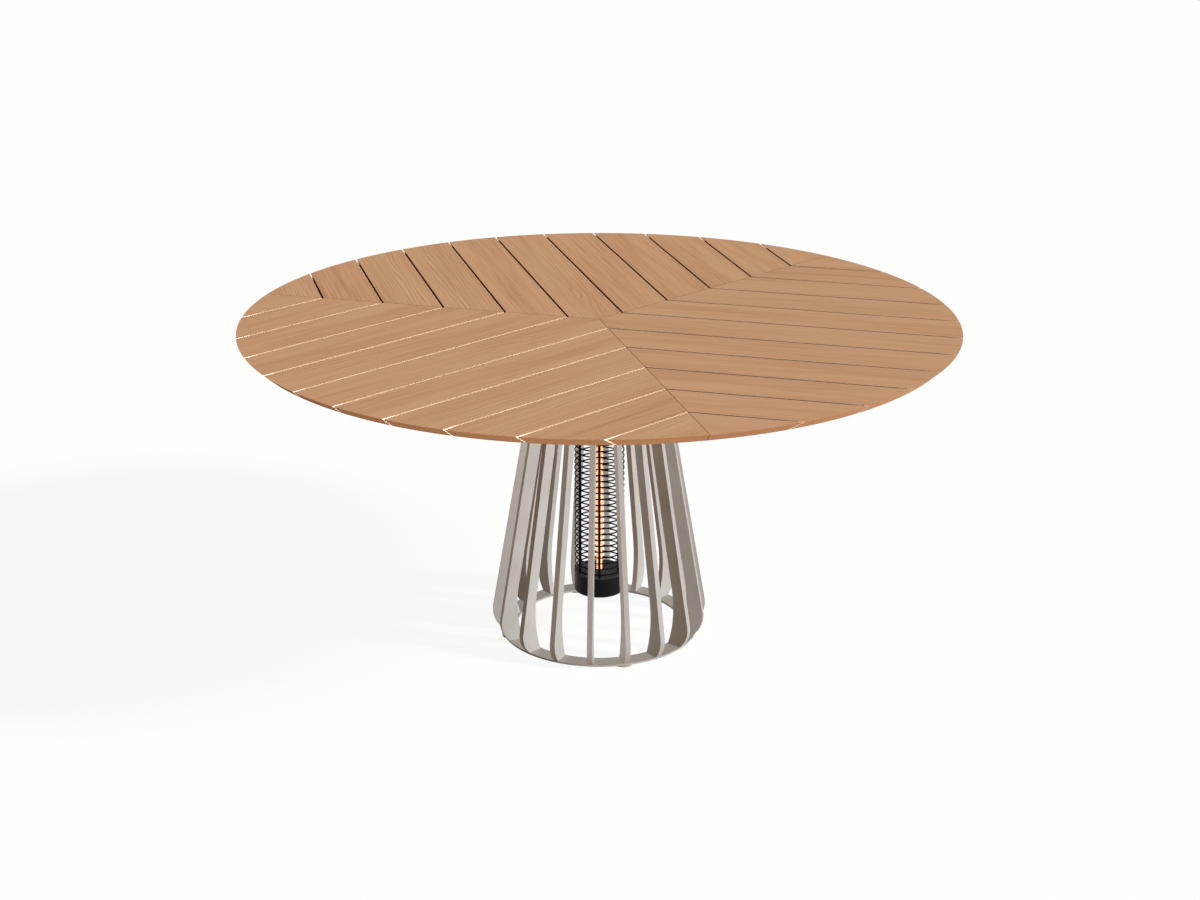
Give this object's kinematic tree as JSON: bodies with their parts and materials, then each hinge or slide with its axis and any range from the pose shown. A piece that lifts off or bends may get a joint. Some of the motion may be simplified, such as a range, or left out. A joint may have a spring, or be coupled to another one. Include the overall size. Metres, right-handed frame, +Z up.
{
  "type": "round outdoor dining table",
  "caption": "Round slatted teak dining table on a pedestal of flat metal fins around a floor ring, with an infrared heater hung inside the pedestal.",
  "frame": {"origin": "on the floor, on the table's axis", "axes": "+Z up, -Y towards the picture's camera, +X to its right"},
  "size_m": [1.6, 1.6, 0.75],
  "materials": {
    "teak": "oiled",
    "powder_coat": "matt powder coat",
    "foot_plastic": "matt",
    "zinc_steel": "zinc plated",
    "black_enamel": "satin",
    "black_plastic": "matt",
    "ceramic": "unglazed",
    "quartz": "clear",
    "glowing_element": "glowing"
  },
  "bodies": {
    "table": {"fins_back": "powder_coat", "fins_front": "powder_coat", "fins_left": "powder_coat", "floor_ring": "powder_coat", "foot_nuts": "zinc_steel", "hanger_bracket": "powder_coat", "hanger_pin": "zinc_steel", "head_plate": "powder_coat", "hub_bolts": "zinc_steel", "hub_plate": "powder_coat", "middle_rails": "powder_coat", "rim_ring": "powder_coat", "seam_rails": "powder_coat", "slat_back_01": "teak", "slat_back_02": "teak", "slat_back_03": "teak", "slat_back_04": "teak", "slat_back_05": "teak", "slat_back_06": "teak", "slat_back_07": "teak", "slat_back_08": "teak", "slat_back_09": "teak", "slat_back_10": "teak", "slat_back_11": "teak", "slat_left_01": "teak", "slat_left_02": "teak", "slat_left_03": "teak", "slat_left_04": "teak", "slat_left_05": "teak", "slat_left_06": "teak", "slat_left_07": "teak", "slat_left_08": "teak", "slat_left_09": "teak", "slat_left_10": "teak", "slat_left_11": "teak", "slat_right_01": "teak", "slat_right_02": "teak", "slat_right_03": "teak", "slat_right_04": "teak", "slat_right_05": "teak", "slat_right_06": "teak", "slat_right_07": "teak", "slat_right_08": "teak", "slat_right_09": "teak", "slat_right_10": "teak", "slat_right_11": "teak"},
    "heater": {"heater_base": "black_enamel", "heater_lid": "black_enamel", "guard_rods": "black_enamel", "guard_rings": "black_enamel", "lamp_holders": "ceramic", "lamp_tube": "quartz", "heating_element": "glowing_element", "heater_cap": "black_enamel", "hanger_stem": "black_enamel", "cable_gland": "black_plastic"},
    "foot_1": {"foot_1": "foot_plastic"},
    "foot_2": {"foot_2": "foot_plastic"},
    "foot_3": {"foot_3": "foot_plastic"},
    "foot_4": {"foot_4": "foot_plastic"}
  },
  "joints": [
    {"name": "heater_swing", "type": "hinge", "parent": "table", "child": "heater", "pos_m": [0, 0, 0.679], "axis": [1, 0, 0], "range_deg": [-10, 10]},
    {"name": "foot_1_screw_out", "type": "slide", "parent": "table", "child": "foot_1", "axis": [0, 0, -1], "range_m": [0, 0.008]},
    {"name": "foot_2_screw_out", "type": "slide", "parent": "table", "child": "foot_2", "axis": [0, 0, -1], "range_m": [0, 0.008]},
    {"name": "foot_3_screw_out", "type": "slide", "parent": "table", "child": "foot_3", "axis": [0, 0, -1], "range_m": [0, 0.008]},
    {"name": "foot_4_screw_out", "type": "slide", "parent": "table", "child": "foot_4", "axis": [0, 0, -1], "range_m": [0, 0.008]}
  ]
}
